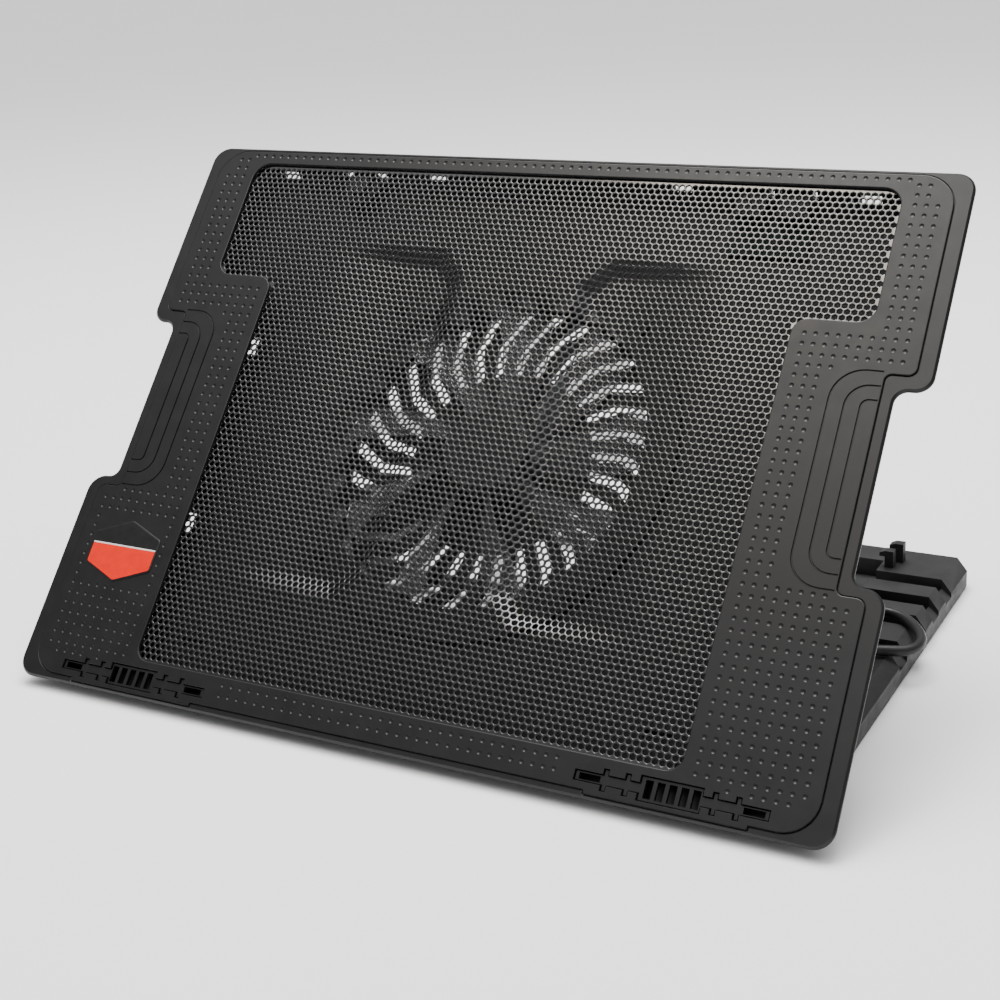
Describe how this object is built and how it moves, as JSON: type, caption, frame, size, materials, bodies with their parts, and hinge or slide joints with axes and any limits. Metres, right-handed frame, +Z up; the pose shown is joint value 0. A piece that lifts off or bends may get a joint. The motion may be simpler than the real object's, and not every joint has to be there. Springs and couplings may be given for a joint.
{
  "type": "laptop cooling pad",
  "caption": "Laptop cooling pad: a slim vented tray with a mesh top and one large fan, hinged on a notched stand with a folding prop.",
  "frame": {"origin": "centre of the bounding box on the surface the stand lies on", "axes": "+X to the right along the hinge, +Y to the rear, where the pad rises, +Z up"},
  "size_m": [0.38, 0.276, 0.2153],
  "materials": {
    "black_plastic": "fine matt moulded black plastic",
    "dark_plastic": "satin dark plastic",
    "painted_mesh": "black painted steel sheet, perforated",
    "rubber": "matt rubber",
    "steel": "bright steel",
    "orange_foil": "printed orange and black foil",
    "label_foil": "dark satin foil",
    "ferrite": "sintered magnet",
    "copper": "copper winding",
    "bronze": "sintered bronze",
    "circuit_board": "green circuit board",
    "cream_plastic": "cream plastic"
  },
  "bodies": {
    "stand": {"base_plate": "black_plastic", "hinge_pin_left": "steel", "hinge_pin_right": "steel", "rubber_foot_front_left": "rubber", "rubber_foot_front_right": "rubber", "rubber_foot_rear_left": "rubber", "rubber_foot_rear_right": "rubber", "usb_cable": "rubber", "usb_cable_coil": "rubber", "usb_plug": "rubber", "usb_plug_shell": "steel"},
    "pad": {"badge": "orange_foil", "bottom_case": "black_plastic", "case_screw_1": "steel", "case_screw_2": "steel", "case_screw_3": "steel", "case_screw_4": "steel", "case_screw_5": "steel", "case_screw_6": "steel", "fan_bearing": "bronze", "fan_board": "circuit_board", "fan_coils": "copper", "fan_housing": "black_plastic", "fan_screw_1": "steel", "fan_screw_2": "steel", "fan_screw_3": "steel", "fan_screw_4": "steel", "hinge_bracket_left": "black_plastic", "hinge_bracket_right": "black_plastic", "mesh_grille": "painted_mesh", "prop_mount_left": "black_plastic", "prop_mount_right": "black_plastic", "prop_pin_left": "steel", "prop_pin_right": "steel", "speed_potentiometer": "cream_plastic", "strain_relief": "rubber", "top_frame": "black_plastic", "usb_board": "circuit_board", "usb_port_1": "steel", "usb_port_2": "steel"},
    "rotor": {"fan_rotor": "dark_plastic", "hub_label": "label_foil", "fan_shaft": "steel", "magnet_ring": "ferrite"},
    "prop": {"prop_bracket": "black_plastic", "foot_sleeve_left": "rubber", "foot_sleeve_right": "rubber"},
    "left_stop": {"front_stop_left": "black_plastic"},
    "right_stop": {"front_stop_right": "black_plastic"},
    "knob": {"speed_knob": "dark_plastic"}
  },
  "joints": [
    {"name": "tilt", "type": "hinge", "parent": "stand", "child": "pad", "pos_m": [0, -0.0972, 0.0068], "axis": [1, 0, 0], "range_deg": [-49, 0], "deforming": ["usb_cable"]},
    {"name": "prop_fold", "type": "hinge", "parent": "pad", "child": "prop", "pos_m": [0, -0.03159, 0.08227], "axis": [1, 0, 0], "range_deg": [0, 101.21]},
    {"name": "fan_spin", "type": "hinge", "parent": "pad", "child": "rotor", "pos_m": [0, -0.02835, 0.09667], "axis": [0, -0.7547, 0.6561], "continuous": true},
    {"name": "left_stop_turn", "type": "hinge", "parent": "pad", "child": "left_stop", "pos_m": [-0.1267, -0.13217, 0.01116], "axis": [1, 0, 0], "range_deg": [0, 90]},
    {"name": "right_stop_turn", "type": "hinge", "parent": "pad", "child": "right_stop", "pos_m": [0.1267, -0.13217, 0.01116], "axis": [1, 0, 0], "range_deg": [0, 90]},
    {"name": "knob_turn", "type": "hinge", "parent": "pad", "child": "knob", "pos_m": [-0.102, 0.03962, 0.19925], "axis": [0, -0.7547, 0.6561], "range_deg": [-135, 135]}
  ],
  "couplings": [
    {"joint": "prop_fold", "follows": "tilt", "ratio": -2.0655}
  ]
}
